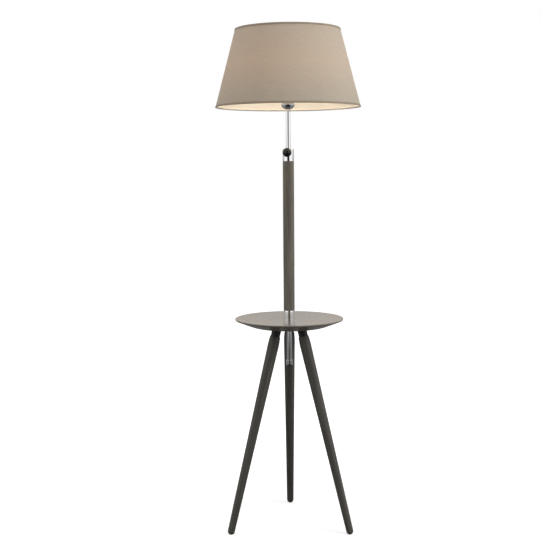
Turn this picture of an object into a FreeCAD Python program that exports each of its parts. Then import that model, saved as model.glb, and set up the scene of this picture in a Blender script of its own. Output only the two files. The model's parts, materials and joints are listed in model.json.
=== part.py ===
import FreeCAD, Part
import math
import os

os.makedirs("parts", exist_ok=True)

# A floor lamp with a round table part-way up its stand. All sizes are in millimetres.
# The origin is on the floor, on the lamp's centre line. +Z is up, and the side
# with the clamping knob faces -Y. The stem with the shade slides up and down in
# the stand, and the ball knob's screw clamps it.

# ---------------------------------------------------------------- driving sizes

# Fits and gaps
joint_fit = 0.05            # radial play of pieces that are fixed in one another
running_fit = 0.05          # radial play of pieces that slide or turn in one another
free_gap = 0.3              # least gap between pieces that move past each other

# Table
table_underside_z = 635.0   # floor to the flat underside
table_thickness = 28.0
table_dia = 340.0
table_flat_dia = 220.0      # flat part of the underside, inside the bevel
table_rim_height = 4.6      # upright part of the rim, above the bevel
table_rim_round = 2.2
table_bevel_round = 20.0    # how far the bevel's lower end is rounded

# Legs: turned wood on a slanted axis
leg_directions = {"left": 210.0, "right": 330.0, "rear": 90.0}
leg_top_radius = 43.8       # leg axis at the table's underside, from the centre line
leg_foot_radius = 212.5     # centre of the ball foot, from the centre line
leg_foot_dia = 22.0
leg_thick_dia = 35.4
leg_top_dia = 31.8
leg_shoulder_length = 29.0  # from the leg's thickest place to its top end
leg_shoulder_bulge = 0.4    # how far the shoulder stands out of a straight line
foot_flat_depth = 0.7       # how much the ball foot is worn flat on the floor

# Collars, rods and inserts between legs and table
collar_length = 27.0
collar_dia = 30.0
collar_foot_dia = 28.4
rod_dia = 8.0
rod_in_leg = 32.0
insert_dia = 12.0
insert_length = 14.0
insert_floor_gap = 1.0      # free depth above an insert

# Column, ferrules and the liner tube that clamps them on the table
column_length = 466.0
column_dia = 35.0
spigot_dia = 29.0
spigot_length = 12.0
ferrule_dia = 35.2
lower_ferrule_height = 25.0
upper_ferrule_height = 38.0
ferrule_chamfer = 0.8
ferrule_recess = 1.0        # how deep the lower ferrule is let into the table
liner_dia = 22.0
liner_wall = 1.5
liner_in_upper_ferrule = 18.0
liner_below_nut = 1.0
washer_dia = 38.0
washer_thickness = 2.0
nut_width = 30.0            # across flats
nut_height = 7.0

# Guide bushes for the stem
bush_wall = 1.45
upper_bush_length = 5.0
lower_bush_length = 15.0
lower_bush_lip = 1.5

# Clamping knob
knob_direction = 263.0      # a little to the left of straight ahead
knob_below_ferrule_top = 11.0
knob_ball_dia = 28.0
knob_ball_flat = 1.0        # how much of the ball is cut flat on the ferrule's side
knob_ball_gap = 1.5         # from the ferrule to that flat, clamped
screw_dia = 6.0
screw_in_knob = 12.0
pad_dia = 5.6
pad_thickness = 3.0
pad_gap = 0.1               # pad to stem, and screw to pad

# Stem
stem_dia = 16.0
stem_wall = 1.5
stem_length = 798.0
stem_shown = 121.8          # above the upper ferrule, as photographed
top_bush_length = 15.0
stop_collar_dia = 20.0
stop_collar_height = 18.0
stop_collar_floor = 4.0
stop_collar_round = 4.0
stop_screw_dia = 4.0
cord_hole_dia = 7.0
cord_bush_dia = 10.0
cord_bush_lip = 1.5

# Cup and lampholder
cup_dia = 43.0
cup_height = 15.0
cup_wall = 1.2
nipple_dia = 10.0
nipple_wall = 1.2
nipple_below_cup = 12.0
holder_boss_height = 5.0
lock_nut_width = 14.0
lock_nut_height = 3.0
nipple_past_nut = 1.0
holder_dia = 37.0
holder_wall = 2.0
holder_ledge = 4.0          # what the contact block stands on
holder_cap_height = 27.0
contact_block_below = 4.0   # from the contact block to the top of the lampholder's cap
sleeve_below_glass = 0.5    # from the sleeve's top to the bulb's glass
holder_flange_dia = 50.0
holder_flange_height = 4.0
contact_block_height = 9.0
centre_contact_dia = 9.0
centre_contact_height = 1.4
shell_bore = 27.2
shell_wall = 0.7
shell_height = 25.0
ring_nut_dia = 52.0
ring_nut_height = 7.0

# Bulb
bulb_cap_dia = 26.4
bulb_cap_height = 27.0
bulb_tip_dia = 9.0
bulb_tip_height = 2.0
bulb_cone_height = 3.0      # between the tip and the cap's full width
bulb_neck_dia = 27.6
bulb_neck_height = 6.0
bulb_neck_hollow = 1.6      # how far the curve above the neck is hollowed
bulb_dia = 60.0
bulb_glass_height = 78.0
bulb_glass_wall = 0.8
bulb_light_dia = 12.0
bulb_light_height = 44.0

# Shade
shade_bottom_dia = 450.0
shade_top_dia = 321.0
shade_height = 238.0
shade_frame_rise = 28.8     # from the shade's bottom edge up to its ring on the lampholder
cover_thickness = 0.8
lining_thickness = 0.6
laminate_gap = 0.1          # between cover, lining, rings and trims
trim_thickness = 0.6
trim_height = 6.0
frame_wire_dia = 4.0
frame_ring_width = 10.0
frame_ring_thickness = 2.5
arm_seat = 1.5              # how far an arm reaches over the edge of the lampholder's ring
arm_directions = {"left": 210.0, "right": 330.0, "rear": 90.0}

# ---------------------------------------------------------------- places that follow

table_top_z = table_underside_z + table_thickness
recess_floor_z = table_top_z - ferrule_recess
column_base_z = table_top_z + lower_ferrule_height
column_top_z = column_base_z + column_length
ferrule_top_z = column_top_z + upper_ferrule_height
knob_z = ferrule_top_z - knob_below_ferrule_top

washer_z = table_underside_z - washer_thickness
nut_z = washer_z - nut_height
liner_bottom_z = nut_z - liner_below_nut
liner_top_z = column_top_z + liner_in_upper_ferrule
liner_bore = liner_dia - 2 * liner_wall
liner_hole = liner_dia + 2 * joint_fit
bush_bore = stem_dia + 2 * running_fit
upper_bush_dia = bush_bore + 2 * bush_wall
lower_bush_dia = liner_bore - 2 * joint_fit
stem_passage = stem_dia + 2 * free_gap

stem_top_z = ferrule_top_z + stem_shown
stem_bottom_z = stem_top_z - stem_length
stem_bore = stem_dia - 2 * stem_wall
stop_collar_z = stem_bottom_z - stop_collar_floor
cup_rim_z = stem_top_z + cup_height
cup_seat_z = stem_top_z + cup_wall
nipple_hole = nipple_dia + 2 * joint_fit

holder_top_z = cup_seat_z + holder_cap_height
flange_top_z = holder_top_z + holder_flange_height
contact_block_z = holder_top_z - contact_block_height - contact_block_below
contact_block_top_z = contact_block_z + contact_block_height
shell_dia = shell_bore + 2 * shell_wall
sleeve_bore = shell_dia + 2 * free_gap
sleeve_dia = sleeve_bore + 4 * holder_wall
bulb_z = contact_block_top_z + centre_contact_height + laminate_gap
bulb_glass_z = bulb_z + bulb_cap_height
sleeve_top_z = bulb_glass_z - sleeve_below_glass

frame_ring_z = flange_top_z + free_gap
frame_ring_top_z = frame_ring_z + frame_ring_thickness
frame_ring_bore = sleeve_dia + 2 * free_gap
frame_ring_dia = frame_ring_bore + 2 * frame_ring_width
ring_nut_z = frame_ring_top_z + free_gap
shade_bottom_z = frame_ring_top_z - shade_frame_rise
shade_top_z = shade_bottom_z + shade_height

# ---------------------------------------------------------------- helpers

UP = FreeCAD.Vector(0, 0, 1)
CENTRE = FreeCAD.Vector(0, 0, 0)


def at(radius, z):
    """A point in the half plane that outlines are drawn in."""
    return FreeCAD.Vector(radius, 0, z)


def turned(start, *steps):
    """A solid turned about the centre line.

    Each step is the outline's next corner, or a pair of points, (on the way, corner), for an arc.
    A straight side closes the outline, unless its last step is back at the start.
    """
    edges = []
    here = start
    for step in steps + (start,):
        if step == here:
            continue
        if isinstance(step[0], tuple):
            on_the_way, corner = step
            edges.append(Part.Arc(at(*here), at(*on_the_way), at(*corner)).toShape())
        else:
            corner = step
            edges.append(Part.LineSegment(at(*here), at(*corner)).toShape())
        here = corner
    solid = Part.Face(Part.Wire(edges)).revolve(CENTRE, UP, 360)
    if solid.Volume < 0:
        solid.reverse()
    return solid


def rounding(before, corner, after, length):
    """The two steps that round a corner of an outline, starting and ending this far from it."""
    def toward(point):
        share = length / math.dist(corner, point)
        return tuple(c + (p - c) * share for c, p in zip(corner, point))

    start, end = toward(before), toward(after)
    middle = tuple((a + b) / 2 for a, b in zip(start, end))
    half_chord = math.dist(start, middle)
    depth = math.dist(corner, middle)
    rise = half_chord * math.tan(math.atan(depth / half_chord) / 2)
    on_the_way = tuple(m + (c - m) * rise / depth for m, c in zip(middle, corner))
    return start, (on_the_way, end)


def bowl_bend(rim, seat, drop):
    """Radius, and depth below the rim, half way round a bowl that is part of an ellipse."""
    first = math.asin(seat / rim)
    middle = (first + math.pi / 2) / 2
    return rim * math.sin(middle), drop * math.cos(middle) / math.cos(first)


def disc(dia, low_z, high_z):
    return Part.makeCylinder(dia / 2, high_z - low_z, at(0, low_z))


def tube(dia, bore, low_z, high_z):
    """An upright tube or ring."""
    return turned((bore / 2, low_z), (dia / 2, low_z), (dia / 2, high_z), (bore / 2, high_z))


def hexagon(width, low_z, high_z):
    """A six-sided block, measured across its flats."""
    reach = width / math.sqrt(3)
    corners = [FreeCAD.Vector(reach * math.cos(math.radians(60 * i)),
                              reach * math.sin(math.radians(60 * i)), low_z) for i in range(7)]
    return Part.Face(Part.makePolygon(corners)).extrude(UP * (high_z - low_z))


def swung(shape, degrees):
    """A copy turned about the centre line, from +X towards +Y."""
    copy = shape.copy()
    copy.rotate(CENTRE, UP, degrees)
    return copy


def save(node, shape):
    solids = shape.Solids
    shape = solids[0] if len(solids) == 1 else Part.makeCompound(solids)
    if not solids or not shape.isValid() or min(solid.Volume for solid in solids) <= 0:
        raise ValueError(node + " is not a sound solid")
    shape.exportStep("parts/" + node + ".step")


# ---------------------------------------------------------------- legs and what holds them

foot_centre_z = leg_foot_dia / 2 - foot_flat_depth
leg_run = math.hypot(leg_foot_radius - leg_top_radius, table_underside_z - foot_centre_z)
leg_slant = FreeCAD.Vector((leg_foot_radius - leg_top_radius) / leg_run, 0,
                           (foot_centre_z - table_underside_z) / leg_run)


def along_leg(shape):
    """Moves a shape from the centre line to a leg's axis.

    Height 0 goes to the table's underside, and heights grow down the leg.
    """
    moved = shape.copy()
    moved.Placement = FreeCAD.Placement(at(leg_top_radius, table_underside_z),
                                        FreeCAD.Rotation(UP, leg_slant))
    return moved


def leg():
    """Turned leg: rounded shoulder, straight taper, ball foot with a small flat."""
    thickest = collar_length + leg_shoulder_length
    shoulder = ((leg_thick_dia + leg_top_dia) / 4 + leg_shoulder_bulge,
                collar_length + leg_shoulder_length / 2)
    foot = leg_foot_dia / 2
    slope = math.sqrt(0.5)
    wood = turned((0, collar_length), (leg_top_dia / 2, collar_length),
                  (shoulder, (leg_thick_dia / 2, thickest)),
                  (foot, leg_run),
                  ((foot * slope, leg_run + foot * slope), (0, leg_run + foot)))
    rod_hole = disc(rod_dia + 2 * joint_fit, 0, collar_length + rod_in_leg + free_gap)
    floor = Part.makeBox(4 * leg_foot_dia, 4 * leg_foot_dia, leg_foot_dia,
                         FreeCAD.Vector(leg_foot_radius - 2 * leg_foot_dia, -2 * leg_foot_dia,
                                        -leg_foot_dia))
    return along_leg(wood.cut(rod_hole)).cut(floor)


def leg_collar():
    """Slanted spacer: level where it meets the table, square to the leg below."""
    above = collar_dia
    blank = turned((0, -above), (collar_dia / 2, -above), (collar_dia / 2, 0),
                   (collar_foot_dia / 2, collar_length), (0, collar_length))
    hole = disc(rod_dia + 2 * joint_fit, -above, collar_length)
    table_space = Part.makeBox(4 * collar_dia, 4 * collar_dia, 2 * collar_dia,
                               FreeCAD.Vector(leg_top_radius - 2 * collar_dia, -2 * collar_dia,
                                              table_underside_z))
    return along_leg(blank.cut(hole)).cut(table_space)


def leg_rod():
    return along_leg(disc(rod_dia, -insert_length, collar_length + rod_in_leg))


def leg_insert():
    """Threaded bush in the table, its mouth level with the underside."""
    blank = along_leg(tube(insert_dia, rod_dia + 2 * joint_fit, -insert_length, insert_dia))
    return blank.common(disc(table_dia, table_underside_z, table_top_z))


def insert_pocket():
    return along_leg(disc(insert_dia + 2 * joint_fit, -insert_length - insert_floor_gap, insert_dia))


for side, direction in leg_directions.items():
    save("leg_" + side, swung(leg(), direction))
    save("leg_collar_" + side, swung(leg_collar(), direction))

save("leg_rods", Part.makeCompound([swung(leg_rod(), d) for d in leg_directions.values()]))
save("leg_inserts", Part.makeCompound([swung(leg_insert(), d) for d in leg_directions.values()]))

# ---------------------------------------------------------------- table


def table_top():
    """Round top: a shallow seat for the ferrule, a rounded rim, and a straight bevel under it."""
    recess = ferrule_dia / 2 + joint_fit
    hole_low = (liner_hole / 2, table_underside_z)
    bevel_low = (table_flat_dia / 2, table_underside_z)
    rim_low = (table_dia / 2, table_top_z - table_rim_height)
    rim_high = (table_dia / 2, table_top_z)
    recess_high = (recess, table_top_z)
    blank = turned(hole_low,
                   *rounding(hole_low, bevel_low, rim_low, table_bevel_round),
                   *rounding(bevel_low, rim_low, rim_high, table_rim_round),
                   *rounding(rim_low, rim_high, recess_high, table_rim_round),
                   recess_high, (recess, recess_floor_z), (liner_hole / 2, recess_floor_z))
    for direction in leg_directions.values():
        blank = blank.cut(swung(insert_pocket(), direction))
    return blank


save("table_top", table_top())

# ---------------------------------------------------------------- column

pocket_dia = spigot_dia + 2 * joint_fit


def ferrule(low_z, high_z, bore):
    """Plain ring with lightly broken edges."""
    outside = ferrule_dia / 2
    edge = ferrule_chamfer
    return turned((bore / 2, low_z), (outside - edge, low_z), (outside, low_z + edge),
                  (outside, high_z - edge), (outside - edge, high_z), (bore / 2, high_z))


def lower_ferrule():
    blank = ferrule(recess_floor_z, column_base_z, liner_hole)
    return blank.cut(disc(pocket_dia, column_base_z - spigot_length, column_base_z))


def column():
    """Wooden cylinder with a stepped spigot at each end, bored for the liner tube."""
    outside = column_dia / 2
    spigot = spigot_dia / 2
    bore = liner_hole / 2
    return turned((bore, column_base_z - spigot_length), (spigot, column_base_z - spigot_length),
                  (spigot, column_base_z), (outside, column_base_z),
                  (outside, column_top_z), (spigot, column_top_z),
                  (spigot, column_top_z + spigot_length), (bore, column_top_z + spigot_length))


def toward_knob(shape):
    """Moves a shape from the centre line to the clamping screw's axis; heights become radii."""
    moved = shape.copy()
    moved.Placement = FreeCAD.Placement(at(0, knob_z), FreeCAD.Rotation(UP, FreeCAD.Vector(1, 0, 0)))
    return swung(moved, knob_direction)


def upper_ferrule():
    blank = ferrule(column_top_z, ferrule_top_z, stem_passage)
    for dia, low_z, high_z in (
            (pocket_dia, column_top_z, column_top_z + spigot_length),
            (liner_hole, column_top_z, liner_top_z),
            (upper_bush_dia + 2 * joint_fit, ferrule_top_z - upper_bush_length, ferrule_top_z)):
        blank = blank.cut(disc(dia, low_z, high_z))
    return blank.cut(toward_knob(disc(screw_dia + 2 * running_fit, 0, ferrule_dia)))


save("lower_ferrule", lower_ferrule())
save("column", column())
save("upper_ferrule", upper_ferrule())
save("liner_tube", tube(liner_dia, liner_bore, liner_bottom_z, liner_top_z))
save("liner_washer", tube(washer_dia, liner_hole, washer_z, table_underside_z))
save("liner_nut", hexagon(nut_width, nut_z, washer_z).cut(disc(liner_hole, nut_z, washer_z)))
save("upper_guide_bush", tube(upper_bush_dia, bush_bore, ferrule_top_z - upper_bush_length,
                              ferrule_top_z))
save("lower_guide_bush", turned(
    (bush_bore / 2, liner_bottom_z - lower_bush_lip), (liner_dia / 2, liner_bottom_z - lower_bush_lip),
    (liner_dia / 2, liner_bottom_z), (lower_bush_dia / 2, liner_bottom_z),
    (lower_bush_dia / 2, liner_bottom_z + lower_bush_length - lower_bush_lip),
    (bush_bore / 2, liner_bottom_z + lower_bush_length - lower_bush_lip)))

# ---------------------------------------------------------------- clamping knob

pad_low = stem_dia / 2 + pad_gap
screw_low = pad_low + pad_thickness + pad_gap
ball_flat = ferrule_dia / 2 + knob_ball_gap
ball_centre = ball_flat + knob_ball_dia / 2 - knob_ball_flat
screw_high = ball_flat + screw_in_knob

ball = Part.makeSphere(knob_ball_dia / 2, at(0, ball_centre))
ball = ball.cut(disc(knob_ball_dia, ball_flat - knob_ball_dia, ball_flat))
ball = ball.cut(disc(screw_dia + 2 * joint_fit, ball_flat, screw_high))

save("pressure_pad", toward_knob(disc(pad_dia, pad_low, pad_low + pad_thickness)))
save("clamping_screw", toward_knob(disc(screw_dia, screw_low, screw_high)))
save("ball_knob", toward_knob(ball))

# ---------------------------------------------------------------- stem


def stop_collar():
    """Cap on the stem's lower end, rounded below, that also stops the stem's way up."""
    hole_low = (cord_bush_dia / 2 + joint_fit, stop_collar_z)
    edge_low = (stop_collar_dia / 2, stop_collar_z)
    edge_high = (stop_collar_dia / 2, stop_collar_z + stop_collar_height)
    bore = stem_dia / 2 + joint_fit
    blank = turned(hole_low, *rounding(hole_low, edge_low, edge_high, stop_collar_round),
                   edge_high, (bore, stop_collar_z + stop_collar_height),
                   (bore, stem_bottom_z), (cord_bush_dia / 2 + joint_fit, stem_bottom_z))
    return blank.cut(stop_screw(stop_screw_dia + 2 * joint_fit))


def stop_screw(dia):
    """Set screw at the back of the stop collar."""
    length = stop_collar_dia / 2 - stem_dia / 2
    base = FreeCAD.Vector(0, stem_dia / 2, stem_bottom_z + (stop_collar_height - stop_collar_floor) / 2)
    return Part.makeCylinder(dia / 2, length, base, FreeCAD.Vector(0, 1, 0))


def cord_bush():
    """Lipped bush: its barrel fills the stop collar's hole, its lip sits in the stem's end."""
    barrel = cord_bush_dia / 2
    lip = stem_bore / 2 - joint_fit
    bore = cord_hole_dia / 2
    return turned((bore, stop_collar_z), (barrel, stop_collar_z), (barrel, stem_bottom_z),
                  (lip, stem_bottom_z), (lip, stem_bottom_z + cord_bush_lip),
                  (bore, stem_bottom_z + cord_bush_lip))


stem = tube(stem_dia, stem_bore, stem_bottom_z, stem_top_z)
save("stem_tube", stem)
save("stop_collar", stop_collar())
save("stop_screw", stop_screw(stop_screw_dia).cut(disc(stem_dia + 2 * joint_fit, 0, stem_top_z)))
save("cord_bush", cord_bush())
save("stem_top_bush", tube(stem_bore - 2 * joint_fit, nipple_hole, stem_top_z - top_bush_length,
                           stem_top_z))

# ---------------------------------------------------------------- cup and lampholder

holder_floor_z = cup_seat_z + holder_boss_height
nipple_top_z = holder_floor_z + lock_nut_height + nipple_past_nut


def cup():
    """Shallow bowl of even wall on the stem's end."""
    hole = nipple_hole / 2
    rim, seat, drop = cup_dia / 2, stem_dia / 2, cup_height
    rim_in, seat_in, drop_in = rim - cup_wall, seat - cup_wall / 2, drop - cup_wall
    bend_r, bend_depth = bowl_bend(rim, seat, drop)
    bend_in_r, bend_in_depth = bowl_bend(rim_in, seat_in, drop_in)
    return turned((hole, stem_top_z), (seat, stem_top_z),
                  ((bend_r, cup_rim_z - bend_depth), (rim, cup_rim_z)), (rim_in, cup_rim_z),
                  ((bend_in_r, cup_rim_z - bend_in_depth), (seat_in, cup_seat_z)),
                  (hole, cup_seat_z))


def holder_cap():
    """Lower half of the lampholder: domed, hollow, with a ledge for the contact block."""
    hole = nipple_hole / 2
    boss = hole + holder_wall
    outside = holder_dia / 2
    inside = outside - holder_wall
    ledge = inside - holder_ledge
    dome_z = cup_seat_z + cup_height
    bend_r, bend_depth = bowl_bend(outside, boss, cup_height - holder_wall)
    return turned(
        (hole, cup_seat_z), (boss, cup_seat_z), (boss, cup_seat_z + holder_wall),
        ((bend_r, dome_z - bend_depth), (outside, dome_z)),
        (outside, holder_top_z), (inside, holder_top_z), (inside, contact_block_z),
        (ledge, contact_block_z), (ledge, dome_z - holder_wall), (ledge - holder_wall, holder_floor_z),
        (hole, holder_floor_z))


def holder_sleeve():
    """Upper half of the lampholder: a flange that carries the shade, and a threaded sleeve."""
    bore = sleeve_bore / 2
    return turned((bore, holder_top_z), (holder_flange_dia / 2, holder_top_z),
                  (holder_flange_dia / 2, flange_top_z), (sleeve_dia / 2, flange_top_z),
                  (sleeve_dia / 2, sleeve_top_z), (bore, sleeve_top_z))


save("cup", cup())
save("nipple", tube(nipple_dia, nipple_dia - 2 * nipple_wall, stem_top_z - nipple_below_cup,
                    nipple_top_z))
save("lock_nut", hexagon(lock_nut_width, holder_floor_z, holder_floor_z + lock_nut_height).cut(
    disc(nipple_hole, holder_floor_z, nipple_top_z)))
save("lampholder_cap", holder_cap())
save("lampholder_sleeve", holder_sleeve())
save("contact_block", disc(holder_dia - 2 * holder_wall - 2 * joint_fit, contact_block_z,
                           contact_block_top_z))
save("centre_contact", disc(centre_contact_dia, contact_block_top_z,
                            contact_block_top_z + centre_contact_height))
save("threaded_shell", tube(shell_dia, shell_bore, contact_block_top_z,
                            contact_block_top_z + shell_height))
save("shade_ring_nut", tube(ring_nut_dia, sleeve_dia + 2 * joint_fit, ring_nut_z,
                            ring_nut_z + ring_nut_height))

# ---------------------------------------------------------------- bulb


def bulb_cap():
    """Screw cap with its tip contact."""
    outside = bulb_cap_dia / 2
    tip = bulb_tip_dia / 2
    tip_z = bulb_z + bulb_tip_height
    return turned((0, bulb_z), (tip, bulb_z), (tip, tip_z), (outside, tip_z + bulb_cone_height),
                  (outside, bulb_glass_z), (0, bulb_glass_z))


def bulb_glass():
    """Pear-shaped glass of even wall, open where it stands on its cap.

    The globe runs down past its widest place, and a hollow curve leads from it into the neck.
    """
    globe_z = bulb_glass_z + bulb_glass_height - bulb_dia / 2
    neck_z = bulb_glass_z + bulb_neck_height
    past_widest = math.radians(40)

    def surface(depth):
        """Neck, foot of the globe, a point between them, a point on the globe, and its crown."""
        neck, reach = bulb_neck_dia / 2 - depth, bulb_dia / 2 - depth
        foot = (reach * math.cos(past_widest), globe_z - reach * math.sin(past_widest))
        between = ((neck + foot[0]) / 2 - bulb_neck_hollow, (neck_z + foot[1]) / 2)
        return (neck, neck_z), between, foot, (reach, globe_z), (0, globe_z + reach)

    neck, between, foot, widest, crown = surface(0)
    neck_in, between_in, foot_in, widest_in, crown_in = surface(bulb_glass_wall)
    return turned((neck_in[0], bulb_glass_z), (neck[0], bulb_glass_z), neck, (between, foot),
                  (widest, crown), crown_in, (widest_in, foot_in), (between_in, neck_in))


save("bulb_cap", bulb_cap())
save("bulb_glass", bulb_glass())
save("bulb_light", disc(bulb_light_dia, bulb_glass_z, bulb_glass_z + bulb_light_height))

# ---------------------------------------------------------------- shade

shade_slope = (shade_bottom_dia - shade_top_dia) / 2 / shade_height
shade_lean = math.cos(math.atan(shade_slope))


def shade_radius(depth, z):
    """Radius at a height of the surface that lies this deep in the shade's wall."""
    return shade_bottom_dia / 2 - (z - shade_bottom_z) * shade_slope - depth / shade_lean


def shade_layer(depth, thickness, low_z, high_z):
    """A cone of one material between two heights."""
    return turned((shade_radius(depth + thickness, low_z), low_z), (shade_radius(depth, low_z), low_z),
                  (shade_radius(depth, high_z), high_z), (shade_radius(depth + thickness, high_z), high_z))


cover_depth = trim_thickness + laminate_gap
lining_depth = cover_depth + cover_thickness + laminate_gap
wall_depth = lining_depth + lining_thickness + laminate_gap
cover_low_z = shade_bottom_z + trim_thickness + laminate_gap
cover_high_z = shade_top_z - trim_thickness - laminate_gap


def edge_trim(low_z, high_z, band_z):
    """Folded tape: an outer band, and a lip across the wall's edge at low_z or high_z."""
    band = shade_layer(0, trim_thickness, low_z, high_z)
    lip = shade_layer(trim_thickness, wall_depth - trim_thickness, *band_z)
    return band.fuse(lip).removeSplitter()


def frame_wire_ring(z):
    radius = shade_radius(wall_depth, z) - frame_wire_dia / 2 / shade_lean
    return Part.makeTorus(radius, frame_wire_dia / 2, at(0, z))


bottom_ring_z = cover_low_z + frame_wire_dia / 2
top_ring_z = cover_high_z - frame_wire_dia / 2
bottom_ring = frame_wire_ring(bottom_ring_z)
lampholder_ring = tube(frame_ring_dia, frame_ring_bore, frame_ring_z, frame_ring_top_z)


def frame_arm(direction):
    """Straight wire from the ring on the lampholder out and down to the bottom ring."""
    start = at(frame_ring_dia / 2 - arm_seat, (frame_ring_z + frame_ring_top_z) / 2)
    end = at(shade_radius(wall_depth, bottom_ring_z) - frame_wire_dia / 2, bottom_ring_z)
    wire = Part.makeCylinder(frame_wire_dia / 2, (end - start).Length, start, end - start)
    return swung(wire, direction).cut(bottom_ring).cut(lampholder_ring)


save("shade_cover", shade_layer(cover_depth, cover_thickness, cover_low_z, cover_high_z))
save("shade_lining", shade_layer(lining_depth, lining_thickness, cover_low_z, cover_high_z))
save("shade_bottom_trim", edge_trim(shade_bottom_z, shade_bottom_z + trim_height,
                                    (shade_bottom_z, shade_bottom_z + trim_thickness)))
save("shade_top_trim", edge_trim(shade_top_z - trim_height, shade_top_z,
                                 (shade_top_z - trim_thickness, shade_top_z)))
save("shade_bottom_ring", bottom_ring)
save("shade_top_ring", frame_wire_ring(top_ring_z))
save("shade_frame_ring", lampholder_ring)
for side, direction in arm_directions.items():
    save("shade_arm_" + side, frame_arm(direction))
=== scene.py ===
import json
import math

import bpy
import numpy as np
from bpy.props import FloatProperty, FloatVectorProperty, IntProperty, PointerProperty
from mathutils import Matrix, Vector


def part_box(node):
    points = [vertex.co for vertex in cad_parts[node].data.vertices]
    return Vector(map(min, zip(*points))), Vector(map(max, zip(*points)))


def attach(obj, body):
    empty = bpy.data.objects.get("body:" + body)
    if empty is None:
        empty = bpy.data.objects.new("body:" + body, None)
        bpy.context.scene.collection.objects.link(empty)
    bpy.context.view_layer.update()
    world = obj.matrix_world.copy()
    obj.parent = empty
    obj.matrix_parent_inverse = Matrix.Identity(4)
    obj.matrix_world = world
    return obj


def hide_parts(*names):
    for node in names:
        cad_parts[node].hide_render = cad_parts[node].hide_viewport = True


bl_info = {
    "name": "Floor lamp with table",
    "version": (1, 0, 0),
    "blender": (4, 5, 0),
    "location": "3D View > Sidebar > Lamp",
    "description": "Finished surfaces of a floor lamp with a round table, around its fixed frame",
    "category": "Object",
}

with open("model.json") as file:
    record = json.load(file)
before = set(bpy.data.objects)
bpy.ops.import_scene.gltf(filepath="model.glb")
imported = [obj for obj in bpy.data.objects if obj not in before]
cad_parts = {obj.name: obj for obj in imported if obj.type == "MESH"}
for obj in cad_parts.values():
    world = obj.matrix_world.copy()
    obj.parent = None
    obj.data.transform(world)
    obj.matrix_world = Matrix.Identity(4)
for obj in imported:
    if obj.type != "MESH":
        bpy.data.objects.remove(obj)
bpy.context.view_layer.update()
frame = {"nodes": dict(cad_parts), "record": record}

SIDES = 96                  # steps round a slim turned piece
FINE_SIDES = 192            # steps round one with a hole or corners in its wall
WIDE_SIDES = 256            # steps round the table and the shade
SMALL_SIDES = 48            # steps round a screw hole and a grub screw
WIRE_SIDES = 20             # steps round the wire of the shade's rings
ARM_SIDES = 24              # steps round the wire of the shade's arms
TURN_ROWS = 8               # rows in one turn of a screw thread
RIB_SIDES = 8               # steps across one grip rib
SEAM_STEPS = 33             # directions close together at the shade's seam
SHARP = math.radians(38)    # edges at least this sharp aren't shaded smooth
LEG_TURNS = {"left": 210.0, "right": 330.0, "rear": 90.0}
KNOB_TURN = 263.0
FULL_TURN = 2 * math.pi
FIT = 0.00005               # play between pieces fixed in one another
FREE = FIT * 6              # play round what only passes through a piece
UPRIGHT = (np.zeros(3), np.array([1.0, 0, 0]), np.array([0, 1.0, 0]), np.array([0, 0, 1.0]))

# The soft boxes: place, target, width and height in metres, and power in watts.
SOFTBOXES = {
    "left_softbox": ((-2.9, -0.8, 1.9), (0, 0, 1.15), (1.5, 1.6), 30),
    "right_softbox": ((2.6, -1.2, 1.95), (0, 0, 1.2), (1.4, 1.5), 54),
    "top_softbox": ((0.2, -0.4, 3.4), (0, 0, 0.6), (2.0, 2.0), 52),
}
# The stage's dark sector is a painted reflection: polished pieces mirror it, and it lights nothing.
DARK_AHEAD = (18, 26)       # degrees from the front between which the stage's dark sector ends
DARK_NEARBY = (50, 58)      # the same for its wider part, close to the lamp
PAINTED_DARK = (0.015,) * 3        # the dark sector's level


# ---------------------------------------------------------------- settings

def length(name, description, default):
    return FloatProperty(name=name, description=description, default=default, min=0.0,
                         unit="LENGTH", subtype="DISTANCE", precision=4)


def angle(name, description, degrees):
    return FloatProperty(name=name, description=description, default=math.radians(degrees),
                         unit="ROTATION", subtype="ANGLE")


def share(name, description, default):
    return FloatProperty(name=name, description=description, default=default, min=0.0, max=1.0,
                         subtype="FACTOR")


def linear(*display):
    """Linear light for a colour given as display values of 0 to 255, by the display's own curve."""
    steps = [value / 255 for value in display]
    return tuple(s / 12.92 if s <= 0.04045 else ((s + 0.055) / 1.055) ** 2.4 for s in steps)


def colour(name, description, *display):
    return FloatVectorProperty(name=name, description=description, default=linear(*display),
                               size=3, min=0.0, max=1.0, subtype="COLOR")


class LegSettings(bpy.types.PropertyGroup):
    """Turned legs and the black collars above them."""
    axis_top: length("Axis at the table", "From the centre line to the leg's axis there", 0.0438)
    axis_foot: length("Axis at the foot", "From the centre line to the ball's centre", 0.2125)
    foot_width: length("Foot", "Diameter of the ball foot", 0.022)
    foot_flat: length("Floor flat", "How much the ball foot is worn flat", 0.0007)
    thick_width: length("Thickest place", "Largest diameter, below the shoulder", 0.0354)
    top_width: length("Top end", "Diameter where the leg meets its collar", 0.0318)
    shoulder: length("Shoulder", "From the thickest place to the top end", 0.029)
    shoulder_bulge: length("Shoulder bulge", "How far it stands out of a straight line", 0.0004)
    collar_length: length("Collar", "Length of the collar along the leg", 0.027)
    collar_width: length("Collar diameter", "At the table", 0.030)
    collar_foot_width: length("Collar lower diameter", "At the leg", 0.0284)
    rod_width: length("Rod", "Diameter of the threaded rod", 0.008)
    rod_depth: length("Rod depth", "How far the rod reaches into the leg", 0.0323)
    edge: length("Edge", "Rounding of the ends", 0.0007)
    # The legs are of the column's stain; this darker tone is painted shade, for the dimmer light under
    # the table.
    wood: colour("Wood", "Stained wood between its pores", 84, 81, 76)
    black: colour("Collar colour", "Matt black", 20, 19, 17)


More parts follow.
